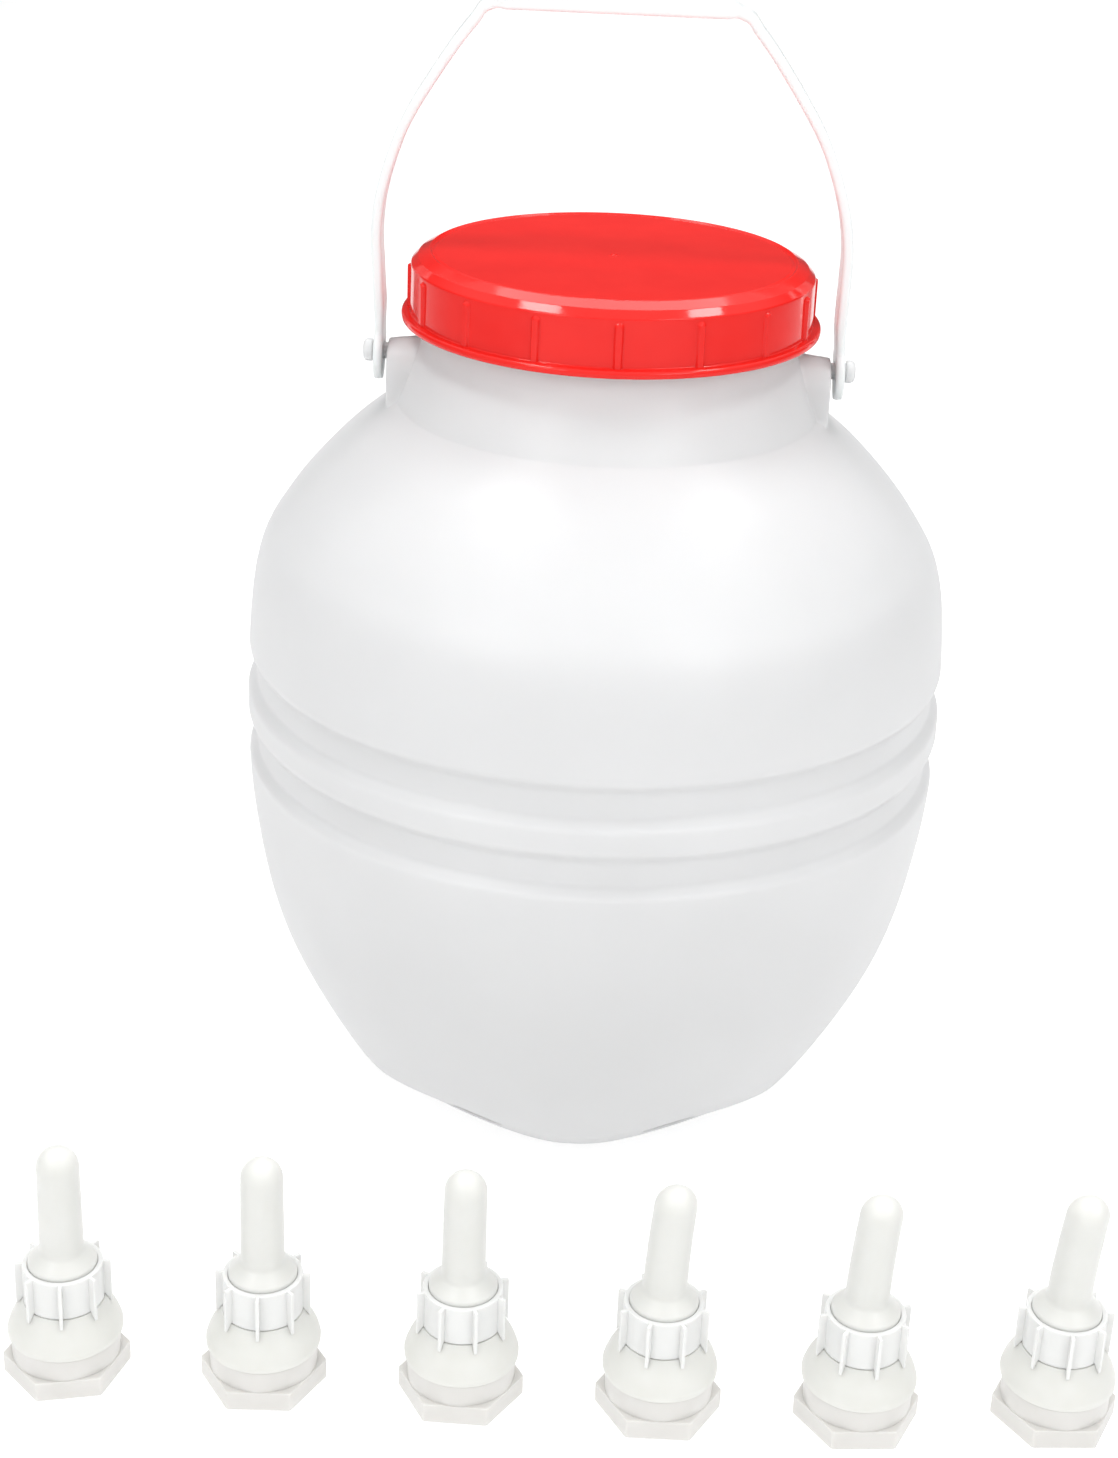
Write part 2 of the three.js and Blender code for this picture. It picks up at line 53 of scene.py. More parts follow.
# Barrel: the same stations and sizes as the CAD solid.
BARREL_WALL_STATIONS = [
    (45, 0), (54, 4), (69.9, 16.3), (82.8, 27.5), (103.8, 69), (113, 110),
    (114.99, 150), (111.9, 194), (102.3, 215), (84.4, 236), (67, 250),
]
BARREL_WALL = 2.2
BASE_EDGE_ROUND = 2.4
GROOVE_HEIGHTS = (138.0, 160.6)
GROOVE_DEPTH = 2.8
GROOVE_FLAT_HALF = 3.4
GROOVE_UPPER_REACH = 8.6
GROOVE_LOWER_REACH = 8.0
NECK_RADIUS = 59.2
NECK_FLARE_RADIUS = 62.2
NECK_FLARE_TOP = 262
NECK_FOOT = 272
NECK_TOP = 293.5
NECK_LIP_ROUND = 1.0
BARREL_SEGMENTS = 216
BARREL_RING_STEP = 1.8

TEAT_COUNT = 6
PAD_SLOPE = math.radians(48.5)
PAD_DISTANCE = 32.1
PAD_FIRST = math.radians(30)
PAD_EDGE_BLEND = 5.0
PAD_HOLE_HEIGHT = 16
PAD_HOLE_RADIUS = 10.4
PAD_HOLE_CHAMFER = 0.6
PAD_HOLE_REACH = 12

LUG_FACE = 70.1
LUG_HALF_WIDTH = 10
LUG_ARCH_HEIGHT = 258
LUG_EDGE = 0.9
LUG_MIDDLE_RADIUS = 66
LUG_FACE_ROUND = 1.6
STUD_HEIGHT = 263.4
STUD_SHANK_RADIUS = 2.6
STUD_HEAD_RADIUS = 3.6
STUD_HEAD_START = 75.1
STUD_END = 78.1

# Screw lid, its thread and the foam disc under its roof.
LID_FOOT = 276.4
LID_TOP = 297.8
LID_DISC = 297.4
LID_ROOF = 295.3
LID_OUTER_RADIUS = 63.2
LID_FLANGE_RADIUS = 66
LID_INNER_RADIUS = 61.6
LID_INNER_CHAMFER = 2
LID_EDGE_TOP = 295.9
LID_EDGE_CHAMFER = 2.2
LID_FLANGE_HEIGHT = 2.4
LID_BAND_RADIUS = 57.4
LID_GROOVE_RADIUS = 56.5
LID_GROOVE_DEPTH = 0.3
LID_DISC_RADIUS = 55.5
LID_RIBS = 16
LID_RIB_PHASE = math.radians(2.3)
LID_RIB_HALF_WIDTH = 1.15
LID_RIB_PROUD = 1.0
LID_RIB_EDGE = 0.35
LID_RIB_FOOT = 279.4
LID_RIB_TOP = 292.3
LID_GATE_RADIUS = 1.1
LID_GATE_RISE = 0.35
THREAD_LEAD = 8
THREAD_BEAD = 1.45
NECK_THREAD_START = 282
LID_THREAD_DROP = 3.6
SEAL_RADIUS = 59.3
SEAL_GAP = 0.3

# Carrying bail: stations of half its centreline as (distance from the middle, height).
BAIL_STATIONS = [
    (73.1, 256), (72.9, 265), (72.5, 277), (72.9, 290), (73.1, 302), (71.5, 314),
    (67.2, 328), (61.6, 340), (50.6, 357), (43, 367), (38, 372), (24, 373.2),
]
BAIL_LEAN = 2.5
BAIL_THICKNESS = 3.3
BAIL_BREADTH = 12
BAIL_EDGE_ROUND = 1.2
EYELET_RADIUS = 9
EYELET_THICKNESS = 2.8
EYELET_HOLE_RADIUS = 3.1
GRIP_HALF_LENGTH = 35
GRIP_TOP = 376.19
GRIP_FOOT = 370.8
GRIP_BREADTH = 14

# Teat units: how each hexagon and each nut is turned, and how far each soft tip leans to +X.
UNIT_HEX_TURNS = (13, 2, -2, 0, 4.5, 4)
UNIT_NUT_TURNS = (8.5, 1, 20, 26, 14, -1)
UNIT_TIP_LEANS = (0, 0, 0, 2, 2, 2.5)
HEX_CORNER_RADIUS = 18.6
HEX_CORNER_ROUND = 1.1
HEX_THICKNESS = 6.2
HEX_EDGE_ROUND = 0.3
SEAT_RADIUS = 15.8
SEAT_TOP = 13
CORE_RADIUS = 9.7
CORE_TOP = 30.4
MILK_BORE_RADIUS = 6
WASHER_HOLE_RADIUS = 10.3
WASHER_FOOT = 13.3
WASHER_TOP = 24.8
WASHER_DOME = [(16.77, 14.3), (16.7, 15.6), (15.7, 18.5), (14.2, 21.2), (12, 24.8)]
WASHER_DOME_STEPS = 24
NUT_RADIUS = 11.7
NUT_HOLE_RADIUS = 10.15
NUT_WEB_HOLE_RADIUS = 6.8
NUT_FOOT = 24.95
NUT_WEB_FOOT = 32.5
NUT_WEB_TOP = 34
NUT_TOP = 37
NUT_FINS = 8
NUT_FIN_RADIUS = 13.9
NUT_FIN_HALF_THICKNESS = 0.5
NUT_FIN_FOOT = 22.4
NUT_FIN_FOOT_SLOPE = 1.636
NUT_FIN_FOOT_ROUND = 0.35
TEAT_FLANGE_RADIUS = 9.6
TEAT_FLANGE_FOOT = 30.7
TEAT_FLANGE_TOP = 32.2
TEAT_BELL_FOOT = 34.3
TEAT_BELL_SHOULDER = 38
TEAT_BELL_RADIUS = 10.05
TEAT_ROOT_RADIUS = 6.4
TEAT_TIP_RADIUS = 6.1
TEAT_TIP = 76
TEAT_BORE_RADIUS = 4.2
TEAT_BORE_TOP = 71
TEAT_LEAN_START = 42
UNIT_SEGMENTS = 72

# The studio: how bright the surroundings are at the viewer's side, behind the object and overhead, the
# directions between which that changes, and the softboxes as (name, place, target, width, height, watts).
SKY_FRONT = 0.82
SKY_BEHIND = 0.12
SKY_HIGH = 1.14
SKY_DEPTHS = (-0.6, 0.45)
SKY_RISE = (0.36, 0.80)
SOFTBOXES = (
    ("front_left", (-0.75, -1.10, 0.95), (0, 0, 0.24), 0.5, 0.6, 3.7),
    ("front_right", (0.80, -1.05, 0.95), (0, 0, 0.24), 0.5, 0.6, 3.7),
    ("high_left", (-0.43, -0.18, 1.20), (0, 0, 0.29), 0.29, 0.16, 2.8),
    ("high_right", (0.55, -0.08, 1.15), (0, 0, 0.29), 0.27, 0.16, 2.5),
    ("overhead", (0, 0.42, 1.14), (0, 0, 0.29), 0.80, 0.46, 4.4),
    ("strip_left", (-0.75, 0.78, 0.40), (0, 0, 0.29), 0.05, 0.78, 0.2),
    ("strip_right", (0.80, 0.72, 0.40), (0, 0, 0.29), 0.05, 0.78, 0.2),
)

# The floor glows between these strengths, from its middle to its sides, over these distances in metres.
FLOOR_GLOW = (0.62, 0.03)
FLOOR_FADE = (0.6, 1.2)

# The camera, in metres and radians.
IMAGE_HEIGHT_PX = 1458
CAMERA_PLACE = Vector((0, -0.76138, 0.47947))
CAMERA_YAW = -0.0142255
CAMERA_PITCH = 0.4255963
CAMERA_ROLL = 0.0427944
FOCAL_LENGTH_PX = 2465.23
SENSOR_LONG_SIDE_MM = 36.0


# ---------------------------------------------------------------- curves and profiles

def spline(stations, count):
    """Points of a uniform Catmull-Rom spline through the stations, ends included."""
    spans = len(stations) - 1
    points = []
    for step in range(count + 1):
        at = spans * step / count
        index = min(int(at), spans - 1)
        t = at - index
        before = stations[max(index - 1, 0)]
        here = stations[index]
        after = stations[index + 1]
        beyond = stations[min(index + 2, spans)]
        point = []
        for k in range(len(here)):
            v0 = (after[k] - before[k]) / 2
            v1 = (beyond[k] - here[k]) / 2
            a = 2 * here[k] - 2 * after[k] + v0 + v1
            b = -3 * here[k] + 3 * after[k] - 2 * v0 - v1
            point.append(a * t ** 3 + b * t ** 2 + v0 * t + here[k])
        points.append(tuple(point))
    return points


def rounded(corners, closed=False, steps=5):
    """An outline of (across, height, fillet radius) corners with each corner turned into an arc."""
    outline = []
    count = len(corners)
    for index, (across, height, fillet) in enumerate(corners):
        corner = Vector((across, height))
        at_end = not closed and index in (0, count - 1)
        if fillet <= 0 or at_end:
            outline.append((across, height))
            continue
        to_before = (Vector(corners[index - 1][:2]) - corner).normalized()
        to_after = (Vector(corners[(index + 1) % count][:2]) - corner).normalized()
        half = to_before.angle(to_after) / 2
        tangent = fillet / math.tan(half)
        centre = corner + (to_before + to_after).normalized() * (fillet / math.sin(half))
        first = corner + to_before * tangent - centre
        last = corner + to_after * tangent - centre
        for step in range(steps + 1):
            share = step / steps
            along = first.lerp(last, share).normalized() * fillet
            sweep = first.angle_signed(last)
            turned = Matrix.Rotation(-sweep * share, 2) @ first
            outline.append(tuple(centre + (turned if turned.length > 0 else along)))
    return outline


def blend_low(a, b, reach):
    """The lower of two values, with a smooth change-over."""
    h = max(reach - abs(a - b), 0) / reach
    return min(a, b) - h * h * reach / 4


def blend_high(a, b, reach):
    return -blend_low(-a, -b, reach)


def smooth_step(low, high, value):
    t = min(max((value - low) / (high - low), 0), 1)
    return t * t * (3 - 2 * t)


# ---------------------------------------------------------------- meshes

def even_angles(count):
    return [TURN * step / count for step in range(count)]


def ring(radius_at, height, angles):
    """One ring of points about Z. radius_at is a number or a function of the angle."""
    points = []
    for angle in angles:
        radius = radius_at(angle) if callable(radius_at) else radius_at
        points.append((radius * math.cos(angle), radius * math.sin(angle), height))
    return points


def skin(rings, closed=False):
    """A bmesh of quads between neighbouring rings of points; a ring of one point is a pole."""
    bm = bmesh.new()
    rows = [[bm.verts.new(Vector(point) * MM) for point in points] for points in rings]
    pairs = list(zip(rows, rows[1:]))
    if closed:
        pairs.append((rows[-1], rows[0]))
    for lower, upper in pairs:
        count = max(len(lower), len(upper))
        for here in range(count):
            following = (here + 1) % count
            if len(lower) == 1:
                corners = (lower[0], upper[following], upper[here])
            elif len(upper) == 1:
                corners = (lower[here], lower[following], upper[0])
            else:
                corners = (lower[here], lower[following], upper[following], upper[here])
            bm.faces.new(corners)
    bmesh.ops.recalc_face_normals(bm, faces=bm.faces)
    return bm


def lathe(profile, segments, closed=False):
    """A profile of (radius, height) turned about Z."""
    angles = even_angles(segments)
    rings = [[(0, 0, height)] if radius == 0 else ring(radius, height, angles) for radius, height in profile]
    return skin(rings, closed)


def moved(bm, matrix):
    bm.transform(matrix)
    return bm


def placed(bm, x, y, turn_degrees=0):
    """Moves a piece made about the Z axis to its place, in millimetres."""
    spot = Matrix.Translation((x * MM, y * MM, 0))
    return moved(bm, spot @ Matrix.Rotation(math.radians(turn_degrees), 4, "Z"))


def add_piece(name, bm, material, body, stands_for=()):
    """Makes a smooth-shaded object of a bmesh, and hands it to the frame."""
    for face in bm.faces:
        face.smooth = True
    for edge in bm.edges:
        if len(edge.link_faces) == 2 and edge.calc_face_angle() > math.radians(38):
            edge.smooth = False
    mesh = bpy.data.meshes.new(name)
    bm.to_mesh(mesh)
    bm.free()
    mesh.materials.append(material)
    piece = bpy.data.objects.new(name, mesh)
    bpy.context.scene.collection.objects.link(piece)
    evening = piece.modifiers.new("even_normals", "WEIGHTED_NORMAL")
    evening.keep_sharp = True
    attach(piece, body)
    if stands_for:
        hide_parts(*stands_for)
    return piece


def cut(bm, tools):
    """The bmesh with each tool's volume taken out of it."""
    def temporary(made):
        mesh = bpy.data.meshes.new("cutting")
        made.to_mesh(mesh)
        made.free()
        thing = bpy.data.objects.new("cutting", mesh)
        bpy.context.scene.collection.objects.link(thing)
        return thing

    target = temporary(bm)
    cutters = [temporary(tool) for tool in tools]
    for cutter in cutters:
        difference = target.modifiers.new("cut", "BOOLEAN")
        difference.operation = "DIFFERENCE"
        difference.solver = "EXACT"
        difference.object = cutter
    result = bmesh.new()
    result.from_object(target, bpy.context.evaluated_depsgraph_get())
    for thing in (target, *cutters):
        bpy.data.meshes.remove(thing.data)
    return result


# ---------------------------------------------------------------- materials

class Nodes:
    """A node material under construction, with the few textures that these plastics share."""

    def __init__(self, name):
        self.name = name
        self.material = bpy.data.materials.new("look_" + name)
        self.material.use_nodes = True
        self.tree = self.material.node_tree
        self.shader = self.tree.nodes["Principled BSDF"]
        self.output = self.tree.nodes["Material Output"]
        self.place = self.tree.nodes.new("ShaderNodeTexCoord").outputs["Object"]

    def node(self, kind, **values):
        made = self.tree.nodes.new(kind)
        for key, value in values.items():
            setattr(made, key, value)
        return made

    def link(self, source, target):
        self.tree.links.new(source, target)

    def noise(self, size_mm, detail=3.0, stretch=(1, 1, 1)):
        """Noise with features of about the given size."""
        mapping = self.node("ShaderNodeMapping")
        mapping.inputs["Scale"].default_value = stretch
        self.link(self.place, mapping.inputs["Vector"])
        texture = self.node("ShaderNodeTexNoise")
        texture.inputs["Scale"].default_value = 1 / (size_mm * MM)
        texture.inputs["Detail"].default_value = detail
        self.link(mapping.outputs["Vector"], texture.inputs["Vector"])
        return texture.outputs["Fac"]

    def between(self, factor, low, high):
        """A value that runs from low to high as the factor runs over the noise's usual range."""
        remap = self.node("ShaderNodeMapRange")
        remap.inputs["From Min"].default_value = 0.3
        remap.inputs["From Max"].default_value = 0.7
        remap.inputs["To Min"].default_value = low
        remap.inputs["To Max"].default_value = high
        self.link(factor, remap.inputs["Value"])
        return remap.outputs["Result"]

    def tint(self, factor, first, second):
        mix = self.node("ShaderNodeMix", data_type="RGBA")
        mix.inputs["A"].default_value = (*first, 1)
        mix.inputs["B"].default_value = (*second, 1)
        self.link(self.between(factor, 0, 1), mix.inputs["Factor"])
        return mix.outputs["Result"]

    def bump(self, height, depth_mm, under=None):
        bump = self.node("ShaderNodeBump")
        bump.inputs["Distance"].default_value = depth_mm * MM
        self.link(height, bump.inputs["Height"])
        if under is not None:
            self.link(under, bump.inputs["Normal"])
        return bump.outputs["Normal"]

    def glow(self, colour, share):
        """Lets a share of the light pass through the wall."""
        through = self.node("ShaderNodeBsdfTranslucent")
        through.inputs["Color"].default_value = (*colour, 1)
        mix = self.node("ShaderNodeMixShader")
        mix.inputs["Fac"].default_value = share
        self.link(self.shader.outputs["BSDF"], mix.inputs[1])
        self.link(through.outputs["BSDF"], mix.inputs[2])
        self.link(mix.outputs["Shader"], self.output.inputs["Surface"])


def plastic(name, first, second, patch_mm, roughness, scatter_mm, scatter, waves, grain, sheen=0.5):
    """A moulded plastic: two close tints in patches, uneven gloss, long waves and a fine grain.

    waves and grain are (size, depth) in millimetres; scatter is the share of light that scatters inside,
    and sheen is the strength of the surface reflection.
    """
    nodes = Nodes(name)
    shader = nodes.shader
    patches = nodes.noise(patch_mm, 2.0)
    nodes.link(nodes.tint(patches, first, second), shader.inputs["Base Color"])
    gloss = nodes.noise(patch_mm / 3, 4.0)
    nodes.link(nodes.between(gloss, roughness - 0.03, roughness + 0.04), shader.inputs["Roughness"])
    shader.inputs["IOR"].default_value = 1.5
    shader.inputs["Subsurface Weight"].default_value = scatter
    shader.inputs["Subsurface Radius"].default_value = (1.0, 0.95, 0.9)
    shader.inputs["Subsurface Scale"].default_value = scatter_mm * MM
    shader.inputs["Specular IOR Level"].default_value = sheen
    long_waves = nodes.bump(nodes.noise(waves[0], 1.0), waves[1])
    fine_grain = nodes.bump(nodes.noise(grain[0], 3.0), grain[1], long_waves)
    nodes.link(fine_grain, shader.inputs["Normal"])
    return nodes


def make_materials():
    barrel = plastic(
        "natural_polyethylene", (0.786, 0.788, 0.791), (0.76, 0.762, 0.765), 45, 0.36, 6, 0.35, (22, 0.10), (0.5, 0.012)
    )
    barrel.glow((0.93, 0.93, 0.935), 0.28)
    lid = plastic(
        "red_lid_plastic", (0.71, 0.016, 0.012), (0.68, 0.013, 0.010), 18, 0.08, 1.5, 0.10, (14, 0.012), (0.35, 0.001),
        sheen=0.27,
    )
    foam = plastic(
        "white_foam", (0.83, 0.83, 0.80), (0.78, 0.78, 0.75), 6, 0.75, 1, 0.15, (5, 0.06), (0.45, 0.09)
    )
    bail = plastic(
        "white_bail_plastic", (0.82, 0.85, 0.85), (0.80, 0.83, 0.83), 20, 0.32, 2, 0.3, (9, 0.02), (0.4, 0.004)
    )
    bail.glow((0.95, 0.95, 0.95), 0.12)
    bushing = plastic(
        "cream_bushing_plastic", (0.63, 0.62, 0.60), (0.61, 0.60, 0.577), 9, 0.40, 3, 0.4, (6, 0.02), (0.35, 0.006)
    )
    washer = plastic(
        "cream_washer_rubber", (0.645, 0.647, 0.62), (0.63, 0.632, 0.60), 7, 0.45, 4, 0.5, (5, 0.03), (0.3, 0.006)
    )
    nut = plastic(
        "clear_nut_plastic", (0.73, 0.735, 0.725), (0.715, 0.72, 0.71), 8, 0.36, 2, 0.4, (5, 0.006), (0.3, 0.002),
        sheen=0.3,
    )
    nut.glow((0.96, 0.965, 0.955), 0.06)
    teat = plastic(
        "milky_teat_silicone", (0.645, 0.648, 0.625), (0.63, 0.633, 0.608), 9, 0.38, 4, 0.6, (6, 0.02), (0.25, 0.004)
    )
    made = (barrel, lid, foam, bail, bushing, washer, nut, teat)
    return {nodes.name: nodes.material for nodes in made}


# ---------------------------------------------------------------- barrel

def groove_depth(height):
    """How far the two hooped grooves press the wall in: a flat floor between two rounded walls."""
    depth = 0
    for middle in GROOVE_HEIGHTS:
        offset = height - middle
        reach = GROOVE_UPPER_REACH if offset > 0 else GROOVE_LOWER_REACH
        depth += GROOVE_DEPTH * (1 - smooth_step(GROOVE_FLAT_HALF, reach, abs(offset)))
    return depth


def barrel_profile():
    """(radius, height) of the wall from the base's edge to the neck's lip, before pads and lugs."""
    wall = spline(BARREL_WALL_STATIONS, 600)
    neck = spline([(67, 250), (NECK_FLARE_RADIUS, NECK_FLARE_TOP), (NECK_RADIUS, NECK_FOOT), (NECK_RADIUS, NECK_TOP)], 240)
    profile = [wall[0]]
    for radius, height in wall[1:] + neck[1:]:
        near_groove = any(abs(height - middle) < GROOVE_UPPER_REACH + 1 for middle in GROOVE_HEIGHTS)
        near_arch = abs(height - LUG_ARCH_HEIGHT) < LUG_HALF_WIDTH + 1.5
        step = 0.35 if near_arch else 0.6 if near_groove or height < 8 else BARREL_RING_STEP
        last_radius, last_height = profile[-1]
        if math.hypot(radius - last_radius, height - last_height) >= step and height < NECK_TOP - NECK_LIP_ROUND:
            profile.append((radius, height))
    return profile


def barrel_angles():
    """Angles about Z, closer together across the lugs."""
    angles = set()
    for side in (0, math.pi):
        for step in range(-24, 25):
            angles.add(round((side + math.radians(step * 0.42)) % TURN, 6))
    fine = sorted(angles)
    for angle in even_angles(BARREL_SEGMENTS):
        gap = min(abs((angle - other + math.pi) % TURN - math.pi) for other in fine)
        if gap > math.radians(0.8):
            angles.add(angle)
    return sorted(angles)


def pad_radius(angle, height):
    """Where the nearest of the six sloping pads lies in this direction."""
    heading = angle + math.pi / 2 - PAD_FIRST
    offset = (heading + math.pi / TEAT_COUNT) % (TURN / TEAT_COUNT) - math.pi / TEAT_COUNT
    return (PAD_DISTANCE + height * math.sin(PAD_SLOPE)) / (math.cos(PAD_SLOPE) * math.cos(offset))


def with_lug(angle, radius, height):
    """The radius with the arched lug at the nearer of +X and -X grown out of the neck."""
    offset = (angle + math.pi / 2) % math.pi - math.pi / 2
    if abs(offset) > math.radians(15) or height > LUG_ARCH_HEIGHT + LUG_HALF_WIDTH + LUG_EDGE:
        return radius
    aside = LUG_MIDDLE_RADIUS * math.sin(abs(offset))
    inside = LUG_HALF_WIDTH - math.hypot(aside, max(height - LUG_ARCH_HEIGHT, 0))
    face = LUG_FACE / math.cos(offset)
    rounding = LUG_FACE_ROUND - min(max(inside, 0), LUG_FACE_ROUND)
    face -= LUG_FACE_ROUND - math.sqrt(LUG_FACE_ROUND ** 2 - rounding ** 2)
    share = smooth_step(-LUG_EDGE, LUG_EDGE, inside)
    return radius + max(face - radius, 0) * share


def barrel_radius(angle, radius, height):
    if height < NECK_FLARE_TOP - 20:
        return blend_low(radius - groove_depth(height), pad_radius(angle, height), PAD_EDGE_BLEND)
    return with_lug(angle, radius, height)


def barrel_rings(angles):
    profile = barrel_profile()
    rings = [[(0, 0, 0)]]
    for share in (0.35, 0.7, 0.9):
        rings.append(ring(share * (BARREL_WALL_STATIONS[0][0] - BASE_EDGE_ROUND), 0, angles))
    edge = rounded([(30, 0, 0), (*BARREL_WALL_STATIONS[0], BASE_EDGE_ROUND), (*BARREL_WALL_STATIONS[1], 0)])
    for radius, height in edge[1:-1]:
        rings.append(ring(radius, height, angles))
    for radius, height in profile:
        if math.hypot(radius - edge[-2][0], height - edge[-2][1]) < 0.5 or radius < edge[-2][0]:
            continue
        rings.append(ring(lambda angle: barrel_radius(angle, radius, height), height, angles))
    return rings


def wall_normal(before, after, left, right):
    along = Vector(after) - Vector(before)
    around = Vector(right) - Vector(left)
    return around.cross(along).normalized()


def inner_rings(rings, depth):
    """The rings moved inwards by the wall's thickness; the base stays flat."""
    inside = []
    for index in range(1, len(rings)):
        points = rings[index]
        below = rings[index - 1] if len(rings[index - 1]) > 1 else points
        above = rings[min(index + 1, len(rings) - 1)]
        count = len(points)
        moved_in = []
        for here in range(count):
            normal = wall_normal(below[here], above[here], points[here - 1], points[(here + 1) % count])
            moved_in.append(tuple(Vector(points[here]) - normal * depth))
        inside.append(moved_in)
    return inside


def pad_hole_tool(index):
    """A stepped cutter for one pad's hole: the hole, and a small chamfer at the outer face."""
    reach = PAD_HOLE_REACH
    chamfer = PAD_HOLE_CHAMFER
    profile = [
        (0, -reach), (PAD_HOLE_RADIUS, -reach), (PAD_HOLE_RADIUS, -chamfer),
        (PAD_HOLE_RADIUS + chamfer + 0.5, 0.5), (PAD_HOLE_RADIUS + chamfer + 0.5, reach), (0, reach),
    ]
    radius = (PAD_DISTANCE + PAD_HOLE_HEIGHT * math.sin(PAD_SLOPE)) / math.cos(PAD_SLOPE)
    heading = PAD_FIRST + index * TURN / TEAT_COUNT
    onto_pad = (
        Matrix.Rotation(heading, 4, "Z")
        @ Matrix.Translation((0, -radius * MM, PAD_HOLE_HEIGHT * MM))
        @ Matrix.Rotation(math.pi / 2 + PAD_SLOPE, 4, "X")
    )
    return moved(lathe(profile, 64), onto_pad)


def thread_bead(radius, start_height):
    """One turn of a round thread bead whose ends taper off."""
    steps = 144
    sides = 12
    rings = []
    for step in range(steps + 1):
        share = step / steps
        angle = TURN * share * 0.995
        bead = THREAD_BEAD * min(1, max(share, 1e-3) * 18, max(1 - share, 1e-3) * 18) ** 0.5
        points = []
        for side in range(sides):
            turn = TURN * side / sides
            across = radius + bead * math.cos(turn)
            height = start_height + THREAD_LEAD * share + bead * math.sin(turn)
            points.append((across * math.cos(angle), across * math.sin(angle), height))
        rings.append(points)
    caps = [[tuple(sum((Vector(p) for p in points), Vector()) / sides)] for points in (rings[0], rings[-1])]
    return skin([caps[0], *rings, caps[1]])


def stud(side):
    """A mushroom stud: a shank out of the lug and a domed head."""
    corners = [
        (0, LUG_FACE - 2, 0), (STUD_SHANK_RADIUS, LUG_FACE - 2, 0), (STUD_SHANK_RADIUS, STUD_HEAD_START, 0.25),
        (STUD_HEAD_RADIUS, STUD_HEAD_START, 0.4), (STUD_HEAD_RADIUS, STUD_END, 1.7), (0, STUD_END, 0),
    ]
    turned = Matrix.Rotation(side * math.pi / 2, 4, "Y")
    return moved(lathe(rounded(corners, steps=6), 40), Matrix.Translation((0, 0, STUD_HEIGHT * MM)) @ turned)


def make_barrel(materials):
    material = materials["natural_polyethylene"]
    outside = barrel_rings(barrel_angles())
    inside = inner_rings(outside, BARREL_WALL)
    angles = barrel_angles()
    lip = rounded([
        (NECK_RADIUS, NECK_TOP - 3, 0), (NECK_RADIUS, NECK_TOP, NECK_LIP_ROUND),
        (NECK_RADIUS - BARREL_WALL, NECK_TOP, NECK_LIP_ROUND), (NECK_RADIUS - BARREL_WALL, NECK_TOP - 3, 0),
    ])
    lip_rings = [ring(radius, height, angles) for radius, height in lip[1:-1]]
    inner_base = [[(0, 0, BARREL_WALL)]]
    shell = skin([*outside, *lip_rings, *reversed(inside), *inner_base])
    shell = cut(shell, [pad_hole_tool(index) for index in range(TEAT_COUNT)])
    add_piece("barrel_shell", shell, material, "barrel", ["barrel"])
    add_piece("neck_thread", thread_bead(NECK_RADIUS, NECK_THREAD_START), material, "barrel")
    add_piece("stud_left", stud(-1), material, "barrel")
    add_piece("stud_right", stud(1), material, "barrel")


# ---------------------------------------------------------------- lid and seal

def lid_angles():
    """Angles about Z, closer together across each rib."""
    offsets = (0.3, 0.6, 0.8, 1.0, 1.15, 1.3, 1.5, 2.0, 3.0)
    across = [math.asin(offset / LID_OUTER_RADIUS) for offset in offsets]
    sector = TURN / LID_RIBS
    plain = [across[-1] + (sector - 2 * across[-1]) * step / 9 for step in range(1, 9)]
    local = [0, *across, *plain, *(sector - offset for offset in reversed(across))]
    start = LID_RIB_PHASE - math.pi / 2
    return [start + index * sector + offset for index in range(LID_RIBS) for offset in local]


def rib_rise(angle, height):
    """How far a grip rib lifts the lid's side at this place: a bar with round ends."""
    sector = TURN / LID_RIBS
    offset = (angle - LID_RIB_PHASE + math.pi / 2 + sector / 2) % sector - sector / 2
    across = abs(offset) * LID_OUTER_RADIUS
    past_end = max(height - (LID_RIB_TOP - LID_RIB_HALF_WIDTH), 0)
    edge = LID_RIB_HALF_WIDTH - math.hypot(across, past_end)
    return LID_RIB_PROUD * smooth_step(-LID_RIB_EDGE, LID_RIB_EDGE, edge)


def lid_outline():
    """The lid's section from the middle of its roof's underside, round its foot, to the middle of its top."""
    return [
        (LID_INNER_RADIUS - LID_INNER_CHAMFER, LID_ROOF, 0.5),
        (LID_INNER_RADIUS, LID_ROOF - LID_INNER_CHAMFER, 0.5),
        (LID_INNER_RADIUS, LID_FOOT, 0.4),
        (LID_FLANGE_RADIUS, LID_FOOT, 0.9),
        (LID_FLANGE_RADIUS, LID_FOOT + LID_FLANGE_HEIGHT, 1.1),
        (LID_OUTER_RADIUS + 0.1, LID_FOOT + LID_FLANGE_HEIGHT + 0.2, 0.5),
        (LID_OUTER_RADIUS, 288, 0),
        (LID_OUTER_RADIUS, LID_EDGE_TOP - LID_EDGE_CHAMFER, 1.0),
        (LID_OUTER_RADIUS - LID_EDGE_CHAMFER, LID_EDGE_TOP, 0.8),
        (LID_BAND_RADIUS, LID_TOP, 0.4),
        (LID_GROOVE_RADIUS, LID_DISC - LID_GROOVE_DEPTH, 0.25),
        (LID_DISC_RADIUS, LID_DISC, 0.5),
        (40, LID_DISC, 0),
    ]


